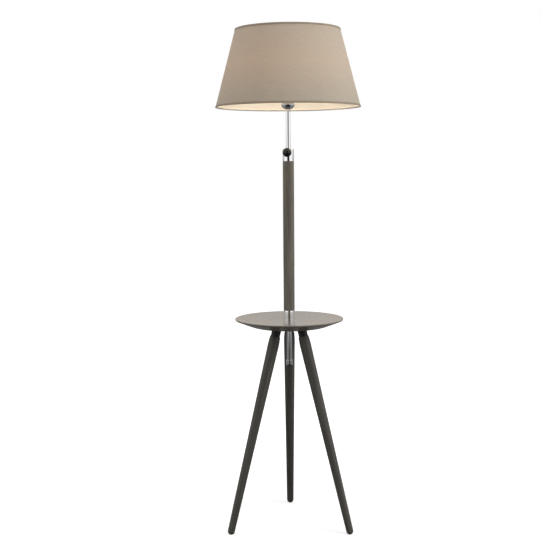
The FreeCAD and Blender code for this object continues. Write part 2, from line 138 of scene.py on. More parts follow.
class TableSettings(bpy.types.PropertyGroup):
    """Round table top."""
    flat_width: length("Flat underside", "Diameter of the flat part of the underside", 0.220)
    rim_height: length("Rim", "Height of the upright part of the rim", 0.0046)
    rim_round: length("Rim rounding", "Rounding of the rim's two corners", 0.0022)
    bevel_round: length("Bevel rounding", "How far the bevel's lower end is rounded", 0.020)
    recess: length("Ferrule seat", "Depth of the seat for the lower ferrule", 0.001)
    wood: colour("Wood", "Stained and lacquered wood", 113, 105, 96)
    lacquer_roughness: share("Lacquer roughness", "0 is a mirror", 0.22)


class ColumnSettings(bpy.types.PropertyGroup):
    """Wooden column, its two chrome ferrules, and what clamps them under the table."""
    spigot_width: length("Spigot", "Diameter of the column's spigots", 0.029)
    spigot_length: length("Spigot length", "Length of the column's spigots", 0.012)
    wood_edge: length("Column edge", "Rounding of the column's ends", 0.0003)
    ferrule_edge: length("Ferrule edge", "Broken edge of the ferrules", 0.0008)
    screw_hole: length("Screw hole", "Diameter of the clamping screw's hole", 0.0061)
    nut_chamfer: length("Nut chamfer", "Height of the chamfer at the nut's corners", 0.0013)
    edge: length("Small edge", "Rounding of bushes and washer", 0.0003)
    # The column is of the legs' stain; this lighter tone is painted light, for the brighter light high
    # on the stand.
    wood: colour("Wood", "Stained wood between its pores", 112, 107, 97)
    chrome: colour("Chrome", "Tint of the polished metal", 238, 238, 240)
    bush: colour("Bushes", "Plastic guide bushes", 30, 30, 30)


class KnobSettings(bpy.types.PropertyGroup):
    """Ball knob and its clamping screw."""
    ball_width: length("Ball", "Diameter of the ball", 0.028)
    ball_flat: length("Flat", "How much of the ball is cut flat towards the ferrule", 0.001)
    ball_gap: length("Gap", "From the ferrule to the ball, clamped", 0.0015)
    bore_depth: length("Bore", "How far the screw reaches into the ball", 0.012)
    screw_width: length("Screw", "Diameter over the thread", 0.006)
    thread_depth: length("Thread depth", "From crest to root", 0.0005)
    thread_pitch: length("Thread pitch", "Travel in one turn", 0.001)
    edge: length("Edge", "Rounding where the ball is cut", 0.0006)
    black: colour("Ball colour", "Gloss black", 15, 14, 13)


class StemSettings(bpy.types.PropertyGroup):
    """Chrome stem, the stop collar on its lower end, and the cup on its upper end."""
    wall: length("Tube wall", "Wall of the stem tube", 0.0015)
    collar_round: length("Collar rounding", "Rounding of the stop collar's lower edge", 0.004)
    screw_width: length("Grub screw", "Diameter of the stop collar's grub screw", 0.004)
    socket_width: length("Socket", "Across the flats of the grub screw's socket", 0.002)
    socket_depth: length("Socket depth", "Depth of the grub screw's socket", 0.0012)
    cord_hole: length("Cord hole", "Bore of the bush in the stop collar", 0.007)
    bush_width: length("Cord bush", "Diameter of that bush's barrel", 0.010)
    cup_wall: length("Cup wall", "Wall of the cup", 0.0012)
    edge: length("Edge", "Rounding of small edges", 0.0003)


class HolderSettings(bpy.types.PropertyGroup):
    """Lampholder and bulb."""
    wall: length("Wall", "Wall of the lampholder", 0.002)
    dome: length("Dome", "Height of the cap's rounded part", 0.015)
    boss: length("Boss", "Thickness of the cap's floor", 0.005)
    flange_height: length("Flange", "Height of the sleeve's flange", 0.004)
    thread_pitch: length("Thread pitch", "Pitch of the sleeve's thread", 0.0025)
    thread_depth: length("Thread depth", "From crest to root", 0.0006)
    ribs: IntProperty(name="Ribs", description="Grip ribs round the ring nut", default=40, min=6)
    rib_depth: length("Rib depth", "Depth of the grip ribs", 0.0007)
    glass_wall: length("Glass", "Wall of the bulb", 0.0008)
    neck_width: length("Bulb neck", "Diameter of the bulb's neck", 0.0276)
    neck_height: length("Neck height", "Straight part of the bulb's neck", 0.006)
    neck_hollow: length("Neck hollow", "How far the curve above the neck is hollowed", 0.0016)
    globe_foot: angle("Globe foot", "How far the globe runs down past its widest place", 40.0)
    edge: length("Edge", "Rounding of moulded edges", 0.0006)
    plastic: colour("Plastic", "Lampholder and ring nut", 232, 230, 224)
    glass: colour("Opal glass", "Bulb when unlit", 250, 246, 236)
    light: colour("Bulb light", "Colour of the lit bulb", 255, 235, 210)
    glow: FloatProperty(name="Glow", description="Brightness of the lit bulb", default=3.0, min=0.0)


class ShadeSettings(bpy.types.PropertyGroup):
    """Fabric shade and its wire frame."""
    trim_thickness: length("Tape", "Thickness of the edge tape", 0.0006)
    trim_height: length("Tape height", "Height of the edge tape", 0.006)
    gap: length("Gap", "Between layers", 0.0001)
    cover_thickness: length("Fabric", "Thickness of the fabric", 0.0008)
    lining_thickness: length("Lining", "Thickness of the lining film", 0.0006)
    wire_width: length("Wire", "Diameter of the frame's wire", 0.004)
    arm_seat: length("Arm seat", "How far an arm reaches over the lampholder's ring", 0.0015)
    seam_turn: angle("Seam", "Direction of the seam, from +X towards +Y", 20.0)
    seam_width: length("Seam width", "Overlap of the fabric at its seam", 0.011)
    thread: length("Thread", "Distance between two threads of the weave", 0.00055)
    fabric: colour("Fabric", "Plain linen weave", 160, 155, 143)
    tape: colour("Edge tape", "Tape along both edges", 146, 133, 116)
    lining: colour("Lining", "Matt film inside", 247, 240, 226)
    wire: colour("Wire paint", "Powder coat", 236, 231, 220)


class StageSettings(bpy.types.PropertyGroup):
    """Camera, lights, floor and surround."""
    distance: length("Camera distance", "From the centre line to the camera", 3.3083)
    height: length("Camera height", "Above the floor", 1.1291)
    lens: FloatProperty(name="Lens", description="Focal length in millimetres on a 36 mm sensor",
                        default=70.633, min=1.0)
    pitch: angle("Camera pitch", "Below the horizon", 5.418)
    yaw: angle("Camera yaw", "To the left of the lamp", 1.03)
    roll: angle("Camera roll", "About its own axis", -0.437)
    floor: colour("Floor", "Plain pale floor", 205, 204, 202)


SETTINGS = {"legs": LegSettings, "table": TableSettings, "column": ColumnSettings,
            "knob": KnobSettings, "stem": StemSettings, "holder": HolderSettings,
            "shade": ShadeSettings, "stage": StageSettings}


def settings(group):
    return getattr(bpy.context.scene, "lamp_" + group)


# ---------------------------------------------------------------- sizes of the frame's nodes

def bottom(node):
    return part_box(node)[0].z


def top(node):
    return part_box(node)[1].z


def ends(node):
    return bottom(node), top(node)


def width(node):
    low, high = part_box(node)
    return high.x - low.x


def globe_middle():
    """Height of the bulb's widest place: its radius below its top."""
    return top("bulb_glass") - width("bulb_glass") / 2


# ---------------------------------------------------------------- outlines, as (radius, height)

def arc(start, way, end, steps=12):
    """Points on the circle through three points: its centre plus radius times (cos t, sin t).

    The centre is where the upright bisectors of the two chords from start meet, and t runs evenly
    from start to end on the side where way lies.
    """
    start, way, end = (np.array(point, float) for point in (start, way, end))
    a, b = way - start, end - start
    across = 2 * (a[0] * b[1] - a[1] * b[0])
    centre = start + np.array([b[1] * (a @ a) - a[1] * (b @ b),
                               a[0] * (b @ b) - b[0] * (a @ a)]) / across
    first, middle, last = (math.atan2(*(point - centre)[::-1]) for point in (start, way, end))
    middle = (middle - first) % FULL_TURN
    last = (last - first) % FULL_TURN
    t = first + np.linspace(0, last if middle < last else last - FULL_TURN, steps + 1)
    return centre + np.linalg.norm(start - centre) * np.stack([np.cos(t), np.sin(t)], -1)


def rounded(*corners, steps=5, support=1.8, most=0.45):
    """An outline whose corners are rounded: each corner is (radius, height, rounding).

    The arc touches both sides at the rounding's distance from the corner and has its middle on the
    line that halves the angle between them. One more point on each side, support times as far from
    the corner and within most of the side, keeps the flat stretches shading flat. A rounding of 0
    leaves a corner as it is.
    """
    points = np.array([corner[:2] for corner in corners], float)
    neighbours = zip(points, np.roll(points, 1, 0), np.roll(points, -1, 0))
    outline = []
    for (here, before, after), corner in zip(neighbours, corners):
        rounding = corner[2] if len(corner) > 2 else 0.0
        if not rounding:
            outline.append(here[None])
            continue
        sides = [point - here for point in (before, after)]
        lengths = [np.linalg.norm(side) for side in sides]
        start, end = (here + side * rounding / run for side, run in zip(sides, lengths))
        middle = (start + end) / 2
        half_chord = np.linalg.norm(start - middle)
        depth = np.linalg.norm(here - middle)
        rise = half_chord * math.tan(math.atan(depth / half_chord) / 2)
        way = middle + (here - middle) * rise / depth
        outer = [here + side * min(rounding * support, run * most) / run
                 for side, run in zip(sides, lengths)]
        outline += [outer[0][None], arc(start, way, end, steps), outer[1][None]]
    return np.vstack(outline)


def bowl(rim, seat, drop, top_z, steps=24):
    """Seat to rim of a bowl: the arc through its seat, its rim and the ellipse half way between.

    The ellipse has the rim as its half width, and its angle runs from where it meets the seat to
    90 degrees at the rim.
    """
    first = math.asin(seat / rim)
    half_way = (first + math.pi / 2) / 2
    bend = (rim * math.sin(half_way), top_z - drop * math.cos(half_way) / math.cos(first))
    return arc((seat, top_z - drop), bend, (rim, top_z), steps)


def join(*stretches):
    """One outline from corners and stretches of points."""
    return np.vstack([np.atleast_2d(np.array(stretch, float)) for stretch in stretches])


def rows_between(low, high, spacing):
    """Evenly spaced heights, both ends among them."""
    return np.linspace(low, high, max(2, int(math.ceil(abs(high - low) / spacing)) + 1))


# ---------------------------------------------------------------- surfaces

def along(origin, direction, side):
    """An axis: its origin, two directions across it and its own direction, right-handed."""
    direction = np.array(direction, float) / np.linalg.norm(direction)
    side = np.array(side, float)
    return np.array(origin, float), side, np.cross(direction, side), direction


def place(points, axis):
    """Moves local points onto an axis: origin + x side + y other side + z direction."""
    return axis[0] + points @ np.stack(axis[1:])


def even_angles(sides):
    return np.linspace(0, FULL_TURN, sides, endpoint=False)


def ringed(radius, height, angles):
    """Rings of points, one for each row: radius (cos a, sin a) at its height.

    radius is one column, or has a column for each angle. height is one column.
    """
    across = radius * np.cos(angles)
    return np.stack([across, radius * np.sin(angles), np.broadcast_to(height, across.shape)], -1)


def swept(outline, angles):
    """Rings of a surface of revolution, for an outline of (radius, height)."""
    return ringed(outline[:, :1], outline[:, 1:], angles)


def threaded(low, high, crest, depth, pitch, angles):
    """Rings of a screw thread between two heights.

    Their radius is the crest less the depth times a triangle wave of height / pitch - turn.
    """
    height = rows_between(low, high, pitch / TURN_ROWS)[:, None]
    phase = (height / pitch - angles / FULL_TURN) % 1.0
    return ringed(crest - depth * (1 - np.abs(2 * phase - 1)), height, angles)


def hexagon(flats, angles):
    """Radius of a hexagon whose flats lie this far from its centre: flats / cos(turn off a flat)."""
    return flats / np.cos(angles % (math.pi / 3) - math.pi / 6)


def cells(grid):
    """The four corners of every cell of a grid, in turn."""
    return np.stack([grid[:-1, :-1], grid[:-1, 1:], grid[1:, 1:], grid[1:, :-1]], 2)


def added(name, data):
    """A new object in the scene."""
    piece = bpy.data.objects.new(name, data)
    bpy.context.scene.collection.objects.link(piece)
    return piece


def skin(name, rings, closed, plan=None):
    """A mesh over rings of points, an array of (rings, sides, 3), with ring i joined to ring i + 1.

    closed joins the last ring to the first, as round a wall. Otherwise the first and last ring are
    poles, all of whose points are one, and each gets a fan of triangles. The UV map is in metres:
    plan, or the way round the widest ring and the way along the rings.
    """
    count, sides = rings.shape[:2]
    index = np.arange(count * sides).reshape(count, sides)
    if closed:
        index = np.vstack([index, index[:1]])
        rings = np.concatenate([rings, rings[:1]])
    else:
        index[0] = index[0, 0]
        index[-1] = index[-1, 0]
    index = np.hstack([index, index[:, :1]])
    if plan is None:
        open_rings = np.linalg.norm(np.diff(rings, axis=1), axis=2).sum(1)
        around = open_rings.max() * sides / (sides - 1)
        down = np.linalg.norm(np.diff(rings, axis=0), axis=2).mean(1)
        plan = np.stack(np.meshgrid(np.linspace(0, around, sides + 1),
                                    np.concatenate([[0], np.cumsum(down)])), -1)
    faces, charts = cells(index), cells(plan)
    parts = [(faces, charts)]
    if not closed:
        parts = [(faces[:1][:, :, [0, 2, 3]], charts[:1][:, :, [0, 2, 3]]),
                 (faces[1:-1], charts[1:-1]),
                 (faces[-1:][:, :, [0, 1, 2]], charts[-1:][:, :, [0, 1, 2]])]
    used, renamed = np.unique(np.concatenate([f.ravel() for f, _ in parts]), return_inverse=True)
    split = np.split(renamed, np.cumsum([f.size for f, _ in parts])[:-1])
    corners = [face for (f, _), flat in zip(parts, split)
               for face in flat.reshape(-1, f.shape[2]).tolist()]
    mesh = bpy.data.meshes.new(name)
    mesh.from_pydata(rings.reshape(-1, 3)[used], [], corners)
    chart = mesh.uv_layers.new(name="Chart")
    chart.uv.foreach_set("vector", np.concatenate([c.reshape(-1, 2) for _, c in parts]).ravel())
    mesh.shade_smooth()
    mesh.set_sharp_from_angle(angle=SHARP)
    return added(name, mesh)


def turned(name, outline, axis=UPRIGHT, sides=SIDES, closed=True):
    """A turned piece: the surface of revolution of an outline about an axis."""
    return skin(name, place(swept(outline, even_angles(sides)), axis), closed)


def ring(name, bore, outside, low, high, edge):
    """A tube or ring with rounded edges."""
    return turned(name, rounded((bore, low, edge), (outside, low, edge), (outside, high, edge),
                                (bore, high, edge)))


def drill(piece, centre, direction, hole_width, depth):
    """Cuts a round hole into a piece, from a point inwards, with an exact boolean."""
    radius = hole_width / 2
    bit = turned("drill", join((0, -depth), (radius, -depth), (radius, depth), (0, depth)),
                 along(centre, direction, (0, 0, 1)), SMALL_SIDES, closed=False)
    cut = piece.modifiers.new("hole", "BOOLEAN")
    cut.operation = "DIFFERENCE"
    cut.solver = "EXACT"
    cut.object = bit
    depsgraph = bpy.context.evaluated_depsgraph_get()
    solid = bpy.data.meshes.new_from_object(piece.evaluated_get(depsgraph))
    piece.modifiers.clear()
    piece.data = solid
    bpy.data.objects.remove(bit)


def fit(piece, body, slot, node, material=None):
    """Finishes a piece: its slot's material or its own, its body, and the node it stands for."""
    piece.data.materials.clear()
    piece.data.materials.append(material or finishes()[slot])
    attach(piece, body)
    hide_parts(node)


# ---------------------------------------------------------------- shader helpers

def shaded(tone, factor):
    """A colour made darker or lighter by one factor."""
    return tuple(min(1.0, channel * factor) for channel in tone)


def full(value):
    """A colour of three channels gets its fourth. Anything else stays as it is."""
    return (*value, 1.0) if isinstance(value, tuple) and len(value) == 3 else value


class Value:
    """A socket that Python's arithmetic works on: every operator adds the Math node for it."""

    def __init__(self, paint, socket):
        self.paint = paint
        self.socket = socket

    def maths(self, operation, *values):
        return self.paint.node("ShaderNodeMath", {"operation": operation}, dict(enumerate(values)))

    def __add__(self, other):
        return self.maths("ADD", self, other)

    def __sub__(self, other):
        return self.maths("SUBTRACT", self, other)

    def __rsub__(self, other):
        return self.maths("SUBTRACT", other, self)

    def __mul__(self, other):
        return self.maths("MULTIPLY", self, other)

    __radd__, __rmul__ = __add__, __mul__

    def wave(self):
        return self.maths("SINE", self)

    def size(self):
        return self.maths("ABSOLUTE", self)

    def ramp(self, low, high):
        """0 at low, 1 at high, straight between and level beyond."""
        return self.paint.node("ShaderNodeMapRange", {"clamp": True},
                               {"Value": self, "From Min": low, "From Max": high})


class Paint:
    """The nodes of a material or of the world. One method adds any node but plain arithmetic."""

    def __init__(self, owner):
        owner.use_nodes = True
        self.owner = owner
        self.tree = owner.node_tree
        self.tree.nodes.clear()

    def node(self, kind, setup=None, inputs=None, output=0):
        """Adds a node, sets it up, then gives its inputs their values or links."""
        made = self.tree.nodes.new(kind)
        for key, value in (setup or {}).items():
            setattr(made, key, value)
        for key, value in (inputs or {}).items():
            if isinstance(value, Value):
                self.tree.links.new(value.socket, made.inputs[key])
            else:
                made.inputs[key].default_value = value
        return Value(self, made.outputs[output]) if made.outputs else None

    def place(self, scale=(1, 1, 1), axis=None, source="Object"):
        """Coordinates in metres, seen from an axis if one is given, and scaled."""
        spot = self.node("ShaderNodeTexCoord", output=source)
        if axis is not None:
            turn = Matrix([list(row) for row in np.stack(axis[1:], 1)]).to_euler()
            spot = self.node("ShaderNodeMapping", {"vector_type": "TEXTURE"},
                             {"Vector": spot, "Location": tuple(axis[0]), "Rotation": tuple(turn)})
        return self.node("ShaderNodeMapping", {"vector_type": "POINT"},
                         {"Vector": spot, "Scale": scale})

    def noise(self, scale, detail=2, roughness=0.5, **placing):
        """Noise with this many waves to a metre along each axis."""
        return self.node("ShaderNodeTexNoise", {"noise_dimensions": "3D"},
                         {"Vector": self.place(scale, **placing), "Scale": 1.0, "Detail": detail,
                          "Roughness": roughness})

    def part(self, spot, letter):
        """One component of a vector."""
        return self.node("ShaderNodeSeparateXYZ", None, {0: spot}, letter)

    def from_front(self, spot):
        """Degrees between a place and the lamp's front, to either side: atan2(|x|, -y)."""
        across = self.part(spot, "X").size()
        turn = across.maths("ARCTAN2", across, 0 - self.part(spot, "Y"))
        return turn * (180 / math.pi)

    def rays(self, *kinds):
        """Whether the ray is of each of these kinds."""
        return [self.node("ShaderNodeLightPath", output=kind) for kind in kinds]

    def mix(self, factor, first, second):
        """A colour between two others."""
        return self.node("ShaderNodeMix", {"data_type": "RGBA"},
                         {0: factor, 6: full(first), 7: full(second)}, 2)

    def shades(self, factor, tone, dark, light=1.0):
        """A tone between a darker and a lighter one of itself."""
        return self.mix(factor, shaded(tone, dark), shaded(tone, light))

    def bump(self, height, distance):
        return self.node("ShaderNodeBump", None, {"Height": height, "Distance": distance,
                                                  "Strength": 1.0})

    def surface(self, tint, **inputs):
        """The finished surface. Inputs are named with _ for a space."""
        named = {key.replace("_", " "): full(value) for key, value in inputs.items()}
        shader = self.node("ShaderNodeBsdfPrincipled", None, {"Base Color": full(tint), **named})
        self.node("ShaderNodeOutputMaterial", None, {"Surface": shader})
        return self.owner


def new_paint(name):
    return Paint(bpy.data.materials.new(name))


# ---------------------------------------------------------------- finishes

def stained_wood(name, tone, axis=UPRIGHT, roughness=0.42):
    """Stained wood turned along an axis: broad and fine streaks, open pores, growth rings.

    The growth rings are the sine of 1500 times the depth across the grain, which wanders a little.
    """
    paint = new_paint(name)
    broad = paint.noise((130, 130, 5), 3, 0.6, axis=axis)
    fine = paint.noise((520, 520, 13), axis=axis)
    local = paint.place(axis=axis)
    wobble = paint.noise((14, 14, 2.2), 1, axis=axis)
    depth = paint.part(local, "X") + paint.part(local, "Z") * 0.021 + wobble * 0.012
    rings = (depth * 1500).wave()
    pores = paint.noise((1500, 1500, 38), 1, axis=axis).ramp(0.60, 0.72)
    grain = broad.ramp(0.34, 0.66) * 0.55 + fine.ramp(0.3, 0.7) * 0.35 + rings * 0.06 + 0.05
    tint = paint.mix(pores * 0.55, paint.shades(grain, tone, 0.62, 1.42), shaded(tone, 0.5))
    return paint.surface(tint, Roughness=fine * 0.1 + pores * 0.12 + (roughness - 0.05),
                         Normal=paint.bump(fine * 0.3 - pores, 0.00006), IOR=1.5,
                         Specular_IOR_Level=0.3)


def lacquered_wood(name, tone, roughness):
    """The table: the same stain with grain across the top, under a smooth lacquer.

    Its growth rings are the sine of 520 times the wandering distance across the grain.
    """
    paint = new_paint(name)
    board = paint.noise((1.4, 26, 26), 3)
    fine = paint.noise((9, 330, 330))
    wobble = paint.noise((1.6, 7, 7), 1)
    rings = ((paint.part(paint.place(), "Y") + wobble * 0.05) * 520).wave()
    pores = paint.noise((34, 1300, 1300), 1).ramp(0.62, 0.74)
    grain = board.ramp(0.3, 0.7) * 0.4 + fine.ramp(0.3, 0.7) * 0.25 + rings * 0.07 + 0.17
    tint = paint.mix(pores * 0.3, paint.shades(grain, tone, 0.86, 1.13), shaded(tone, 0.62))
    wear = paint.noise((6, 6, 6), 4).ramp(0.35, 0.75)
    return paint.surface(tint, Roughness=wear * 0.06 + fine * 0.04 + (roughness - 0.04),
                         Normal=paint.bump(fine * 0.5 - pores * 0.5, 0.000004), IOR=1.5,
                         Specular_IOR_Level=0.5)


def polished_metal(name, tone, roughness=0.05):
    """Chrome plate: faint polishing marks round the piece and a trace of haze."""
    paint = new_paint(name)
    marks = paint.noise((60, 60, 1800))
    haze = paint.noise((45, 45, 30), 3)
    return paint.surface(paint.shades(haze, tone, 0.95), Metallic=1.0,
                         Roughness=haze.ramp(0.4, 0.8) * 0.03 + (roughness - 0.01),
                         Normal=paint.bump(marks, 0.0000015))


def plain_metal(name, tone, roughness=0.32):
    """Zinc, brass or nickel: cloudy tint and fine drawn lines."""
    paint = new_paint(name)
    clouds = paint.noise((70, 70, 70), 4, 0.6)
    lines = paint.noise((300, 300, 3000))
    return paint.surface(paint.shades(clouds.ramp(0.3, 0.7), tone, 0.8), Metallic=1.0,
                         Roughness=clouds * 0.16 + (roughness - 0.08),
                         Normal=paint.bump(lines, 0.000006))


def moulded(name, tone, roughness, grain=0.00002):
    """Moulded plastic, ceramic or paint: fine grain, slight clouding and rubbed roughness."""
    paint = new_paint(name)
    fine = paint.noise((2600, 2600, 2600), 1)
    clouds = paint.noise((90, 90, 90), 3)
    return paint.surface(paint.shades(clouds, tone, 0.9, 1.06),
                         Roughness=clouds * 0.12 + (roughness - 0.06),
                         Normal=paint.bump(fine, grain), Coat_Weight=0.0, Coat_Roughness=0.08)


def lit_glass(name, tone, light, glow):
    """Opal glass with the light inside it: brightest at the globe, cooler towards the neck."""
    paint = new_paint(name)
    height = paint.part(paint.place(), "Z")
    bright = height.ramp(bottom("bulb_glass"), globe_middle()) * 0.6 + 0.4
    clouds = paint.noise((50, 50, 50), 3)
    return paint.surface(paint.shades(clouds, tone, 0.94), Roughness=clouds * 0.1 + 0.16,
                         Emission_Color=paint.shades(bright, light, 0.5), Emission_Strength=glow,
                         IOR=1.5)


def woven(name, tone, thread, glow=None):
    """Plain weave on the piece's flat pattern, in metres: over and under threads, slubs, painted glow.

    Each thread's height is a sine across it, weft and warp taking turns on top. glow is painted
    light, the bulb's light through the fabric as an emission: a strength, a colour, and the
    heights where it starts, is strongest and ends.
    """
    paint = new_paint(name)
    spot = paint.place(source="UV")
    warp, weft = ((paint.part(spot, letter) * (math.pi / thread)).wave() for letter in "XY")
    over = warp * weft
    ribs = weft.size() * 0.5 + warp.size() * 0.5
    slub_weft = paint.noise((55, 1500, 1), source="UV").ramp(0.55, 0.78)
    slub_warp = paint.noise((1500, 55, 1), source="UV").ramp(0.6, 0.8)
    cloud = paint.noise((9, 9, 9), 4, 0.6, source="UV")
    mottle = paint.noise((160, 420, 1), source="UV")
    streaks = paint.noise((22, 300, 1), 3, 0.6, source="UV").ramp(0.35, 0.7)
    light = cloud * 0.25 + mottle * 0.3 + streaks * 0.4 + over * 0.08
    tint = paint.mix(slub_weft * 0.45, paint.shades(light, tone, 0.86, 1.16), shaded(tone, 1.32))
    tint = paint.mix(slub_warp * 0.2, tint, shaded(tone, 0.8))
    relief = ribs + over * 0.35 + slub_weft * 0.9 + slub_warp * 0.4
    inputs = dict(Roughness=mottle * 0.12 + 0.8, Normal=paint.bump(relief, 0.00012),
                  Specular_IOR_Level=0.25, Sheen_Weight=0.12, Sheen_Roughness=0.4)
    if glow:
        # Painted light: the bulb's glow through the fabric, an emission that rises from low to peak and
        # fades out by high.
        strength, glow_colour, low, peak, high = glow
        height = paint.part(paint.place(), "Z")
        lift = height.ramp(low, peak) * (1 - height.ramp(peak, high)) * (mottle * 0.3 + 0.85)
        inputs.update(Emission_Strength=strength, Emission_Color=paint.shades(lift, glow_colour, 0.4))
    return paint.surface(tint, **inputs)


def lining_film(name, tone, light):
    """Pale film inside the shade, with painted light: an emission, strongest beside the bulb."""
    paint = new_paint(name)
    cloud = paint.noise((12, 12, 12), 3)
    grain = paint.noise((900, 900, 900))
    height = paint.part(paint.place(), "Z")
    # Painted light from the bulb: the emission is full beside the bulb's globe and dims above and below
    # it.
    reach = (height - globe_middle()).size().ramp(0.02, 0.16)
    return paint.surface(paint.shades(cloud, tone, 0.95), Roughness=grain * 0.1 + 0.55,
                         Normal=paint.bump(grain, 0.00001), Emission_Strength=0.31,
                         Emission_Color=paint.mix(reach, light, shaded(light, 0.6)))


FINISHES = {}


def finishes():
    """One material for each slot of the record but the legs' wood, made on the first call."""
    if FINISHES:
        return FINISHES
    legs, table, column, knob = (settings(group) for group in ("legs", "table", "column", "knob"))
    holder, shade = settings("holder"), settings("shade")
    lit = tuple(holder.glass), tuple(holder.light), holder.glow
    # Painted light on the shade's fabric: the bulb's warm glow through it, as an emission.
    painted_bulb_glow = (0.15, linear(255, 178, 108), bottom("shade_cover"), top("bulb_glass"),
               top("shade_cover") + 0.1)
    FINISHES.update(
        column_wood=stained_wood("column_wood", tuple(column.wood)),
        table_lacquer=lacquered_wood("table_lacquer", tuple(table.wood), table.lacquer_roughness),
        chrome=polished_metal("chrome", tuple(column.chrome)),
        steel=plain_metal("steel", linear(176, 177, 180)),
        brass=plain_metal("brass", linear(206, 178, 118), 0.28),
        nickel=plain_metal("nickel", linear(206, 204, 198), 0.24),
        black_plastic=moulded("black_plastic", tuple(legs.black), 0.5, 0.00003),
        knob_plastic=moulded("knob_plastic", tuple(knob.black), 0.3, 0.000003),
        bush_plastic=moulded("bush_plastic", tuple(column.bush), 0.45),
        white_plastic=moulded("white_plastic", tuple(holder.plastic), 0.3, 0.00001),
        ceramic=moulded("ceramic", linear(228, 225, 216), 0.6),
        opal_glass=lit_glass("opal_glass", *lit),
        bulb_light=lit_glass("bulb_light", *lit),
        shade_fabric=woven("shade_fabric", tuple(shade.fabric), shade.thread, painted_bulb_glow),
        shade_trim=woven("shade_trim", tuple(shade.tape), shade.thread),
        shade_lining=lining_film("shade_lining", tuple(shade.lining), tuple(holder.light)),
        white_wire=moulded("white_wire", tuple(shade.wire), 0.4))
    return FINISHES


# ---------------------------------------------------------------- measures shared by pieces

def knob_axis():
    """Out from the centre line along the clamping screw."""
    turn = math.radians(KNOB_TURN)
    low, high = ends("clamping_screw")
    return along((0, 0, (low + high) / 2), (math.cos(turn), math.sin(turn), 0), (0, 0, 1))


def leg_axis(side):
    """Down a leg, from where its axis meets the table's underside, and the leg's length."""
    legs = settings("legs")
    turn = math.radians(LEG_TURNS[side])
    outward = np.array([math.cos(turn), math.sin(turn), 0])
    level = np.array([-math.sin(turn), math.cos(turn), 0])
    start = outward * legs.axis_top + (0, 0, bottom("table_top"))
    foot = outward * legs.axis_foot + (0, 0, legs.foot_width / 2 - legs.foot_flat)
    return along(start, foot - start, level), np.linalg.norm(foot - start)


def sleeve_radii():
    """Bore of the lampholder's sleeve, and the crest of its thread."""
    bore = width("threaded_shell") / 2 + FREE
    return bore, bore + 2 * settings("holder").wall


def shade_cone():
    """Height of the shade's lower edge, radius there, and how much radius is lost per height."""
    low, high = bottom("shade_bottom_trim"), top("shade_top_trim")
    wide, narrow = width("shade_bottom_trim") / 2, width("shade_top_trim") / 2
    return low, wide, (wide - narrow) / (high - low)


def shade_radius(depth, z):
    """Radius at a height of the surface that lies this deep in the shade's wall."""
    low, wide, slope = shade_cone()
    return wide - (z - low) * slope - depth * math.hypot(1, slope)


def turn_from_seam(angles):
    """Turn from the shade's seam, from minus half a turn to half a turn."""
    return (angles - settings("shade").seam_turn + math.pi) % FULL_TURN - math.pi


def shade_angles():
    """Directions round the shade: even, and close together at the seam."""
    shade = settings("shade")
    reach = shade.seam_width / shade_cone()[1]
    margin = reach * 1.2    # even directions keep this far from the seam
    close = shade.seam_turn + np.linspace(-reach, reach, SEAM_STEPS)
    even = even_angles(WIDE_SIDES)
    apart = np.abs(turn_from_seam(even))
    return np.sort(np.concatenate([even[apart > margin], close % FULL_TURN]))


def flat_pattern(outline, angles):
    """UV map of a cone as it was cut from the roll, in metres.

    A point at slant distance s from the cone's tip and at turn a from the seam's far side lies at
    s (sin, cos) of a times the sine of the cone's half angle.
    """
    slope = shade_cone()[2]
    sine = slope / math.hypot(1, slope)
    turn = np.append(angles, angles[0] + FULL_TURN)
    spread = (turn - settings("shade").seam_turn - math.pi) * sine
    slant = np.append(outline[:, 0], outline[0, 0])[:, None] / sine
    return slant[..., None] * np.stack([np.sin(spread), np.cos(spread)], -1)


# ---------------------------------------------------------------- operators

class BuildLegs(bpy.types.Operator):
    """Make the three turned legs"""
    bl_idname = "lamp.legs"
    bl_label = "Legs"

    def execute(self, context):
        legs = settings("legs")
        collar, foot, rod = legs.collar_length, legs.foot_width / 2, legs.rod_width / 2 + FIT
        neck, thick = legs.top_width / 2, legs.thick_width / 2
        thickest, end = collar + legs.shoulder, collar + legs.rod_depth
        way = ((legs.thick_width + legs.top_width) / 4 + legs.shoulder_bulge,
               collar + legs.shoulder / 2)
        # The shoulder's curve takes over after the neck's rounding, from its third point.
        head = rounded((rod, end), (rod, collar), (neck, collar, legs.edge), (thick, thickest))
        shoulder = arc((neck, collar), way, (thick, thickest))
        slanting = foot * math.sqrt(0.5)
        for side in LEG_TURNS:
            axis, run = leg_axis(side)
            taper = np.stack([np.linspace(thick, foot, 24), np.linspace(thickest, run, 24)], -1)
            ball = arc((foot, run), (slanting, run + slanting), (0, run + foot), 16)
            outline = join((0, end), head[:-2], shoulder[2:-1], taper, ball[1:])
            rings = place(swept(outline, even_angles(SIDES)), axis)
            rings[..., 2] = np.maximum(rings[..., 2], 0.0)      # the flat that stands on the floor
            fit(skin("turned_leg_" + side, rings, closed=False), "stand", "leg_wood",
                "leg_" + side, stained_wood("leg_wood_" + side, tuple(legs.wood), axis))
        return {"FINISHED"}


class BuildCollars(bpy.types.Operator):
    """Make the black collars between the legs and the table"""
    bl_idname = "lamp.collars"
    bl_label = "Leg collars"

    def execute(self, context):
        legs = settings("legs")
        bore, run = legs.rod_width / 2 + FIT, legs.collar_length
        outline = rounded((bore, 0), (legs.collar_width / 2, 0),
                          (legs.collar_foot_width / 2, run, legs.edge), (bore, run))
        for side in LEG_TURNS:
            axis, _ = leg_axis(side)
            rings = swept(outline, even_angles(SIDES))
            # Height 0 is drawn out to the level underside of the table, where
            # x side_z + y other_z + h down_z = 0.
            level = -(rings[..., 0] * axis[1][2] + rings[..., 1] * axis[2][2]) / axis[3][2]
            rings[..., 2] += level * (1 - rings[..., 2] / run)
            fit(skin("black_collar_" + side, place(rings, axis), closed=True), "stand",
                "black_plastic", "leg_collar_" + side)
        return {"FINISHED"}


